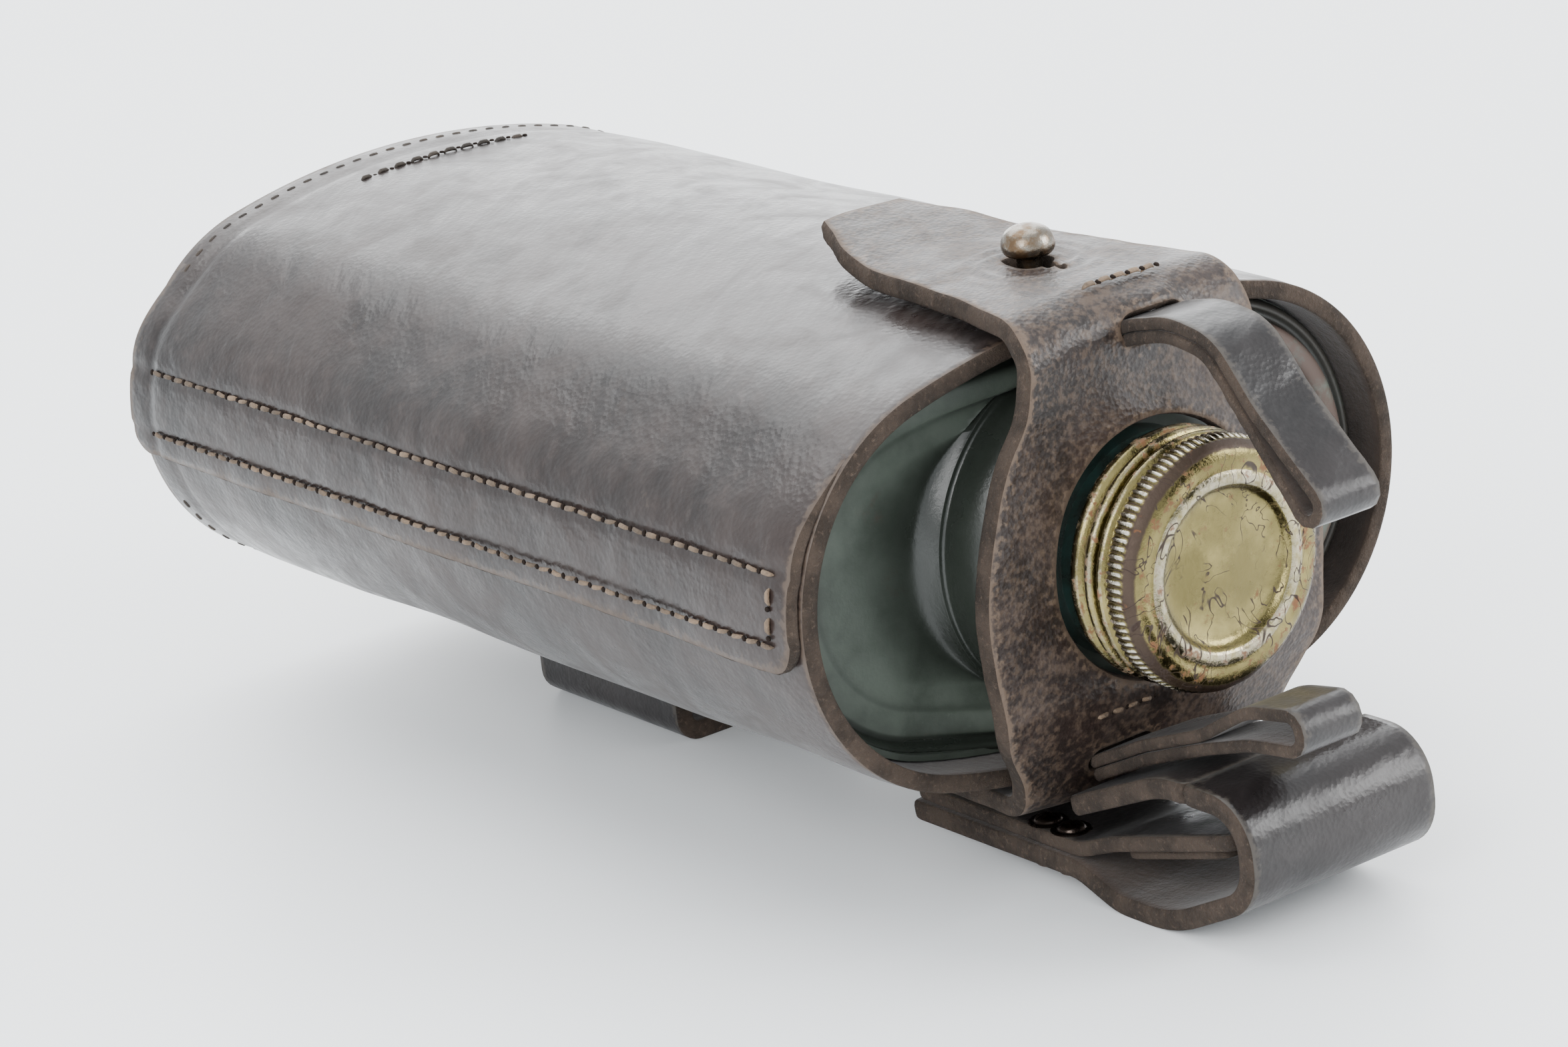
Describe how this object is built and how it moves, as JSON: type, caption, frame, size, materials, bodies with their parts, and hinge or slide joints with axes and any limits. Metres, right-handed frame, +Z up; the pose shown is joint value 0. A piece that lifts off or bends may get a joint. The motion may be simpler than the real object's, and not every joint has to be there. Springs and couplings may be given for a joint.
{
  "type": "hip flask",
  "caption": "Oval metal flask in a sewn leather belt case: screw cap, buttoned yoke strap over the neck, small loops, and a folded belt strap with a back keeper.",
  "frame": {"origin": "on the resting plane, under the middle of the part's bounding box, with the flask lying on its belt strap and keeper", "axes": "+X across the flask, away from the side seam; +Y from the mouth and cap towards the base; +Z up, out of the front face with the button stud"},
  "size_m": [0.124, 0.2478, 0.1],
  "materials": {
    "case_leather": "dark waxed brown leather, satin",
    "strap_leather": "dark waxed brown leather, satin",
    "lining_leather": "brown leather, matt",
    "stitching": "waxed linen thread",
    "bottle_enamel": "grey-green paint, satin",
    "neck_enamel": "dark green paint, gloss",
    "cap_lacquer": "gold lacquer on tinplate, worn and spotted with rust",
    "seal_rubber": "matt",
    "stud_metal": "dark worn nickel",
    "rivet_metal": "dark oxidised iron"
  },
  "bodies": {
    "case": {"case_body": "case_leather", "case_base": "case_leather", "base_seam_thread": "stitching", "side_seam_thread": "stitching", "base_tab_thread": "stitching", "bottle_body": "bottle_enamel", "bottle_shoulder": "bottle_enamel", "bottle_base": "bottle_enamel", "bottle_neck": "neck_enamel", "yoke": "strap_leather", "button_stud": "stud_metal", "stud_plate": "stud_metal", "front_loop_thread": "stitching", "rear_loop_thread": "stitching", "belt_strap_root": "strap_leather", "inner_strap_root": "lining_leather", "strap_packing": "lining_leather", "root_rivets": "rivet_metal", "keeper": "strap_leather", "keeper_thread": "stitching"},
    "seal": {"cap_seal": "seal_rubber"},
    "cap": {"cap_shell": "cap_lacquer"},
    "tongue": {"yoke_tongue": "strap_leather"},
    "front_loop": {"front_loop": "strap_leather"},
    "rear_loop": {"rear_loop": "strap_leather"},
    "hanger": {"belt_strap": "strap_leather", "inner_strap": "lining_leather", "strap_patch": "lining_leather", "belt_rivets": "rivet_metal", "rivet_burrs": "rivet_metal"},
    "flap": {"belt_flap": "strap_leather"}
  },
  "joints": [
    {"name": "cap_lift", "type": "slide", "parent": "case", "child": "seal", "axis": [0, -1, 0], "range_m": [0, 0.006]},
    {"name": "cap_turn", "type": "hinge", "parent": "seal", "child": "cap", "pos_m": [0.0012, -0.08805, 0.0522], "axis": [0, -1, 0], "range_deg": [0, 720]},
    {"name": "tongue_lift", "type": "hinge", "parent": "case", "child": "tongue", "pos_m": [0.0012, -0.0662, 0.0928], "axis": [1, 0, 0], "range_deg": [0, 75]},
    {"name": "front_loop_lift", "type": "hinge", "parent": "case", "child": "front_loop", "pos_m": [0.0012, -0.08065, 0.087], "axis": [-1, 0, 0], "range_deg": [-12, 40]},
    {"name": "rear_loop_lift", "type": "hinge", "parent": "case", "child": "rear_loop", "pos_m": [0.0012, -0.07745, 0.0202], "axis": [-1, 0, 0], "range_deg": [-1.5, 2.8]},
    {"name": "hanger_swing", "type": "hinge", "parent": "case", "child": "hanger", "pos_m": [0.0012, -0.06155, 0.0032], "axis": [1, 0, 0], "range_deg": [0, 30]},
    {"name": "flap_press", "type": "hinge", "parent": "hanger", "child": "flap", "pos_m": [0.0012, -0.1008, 0.0252], "axis": [-1, 0, 0], "range_deg": [0, 6]}
  ],
  "couplings": [
    {"joint": "cap_lift", "follows": "cap_turn", "m_per_rad": 0.00047742}
  ]
}
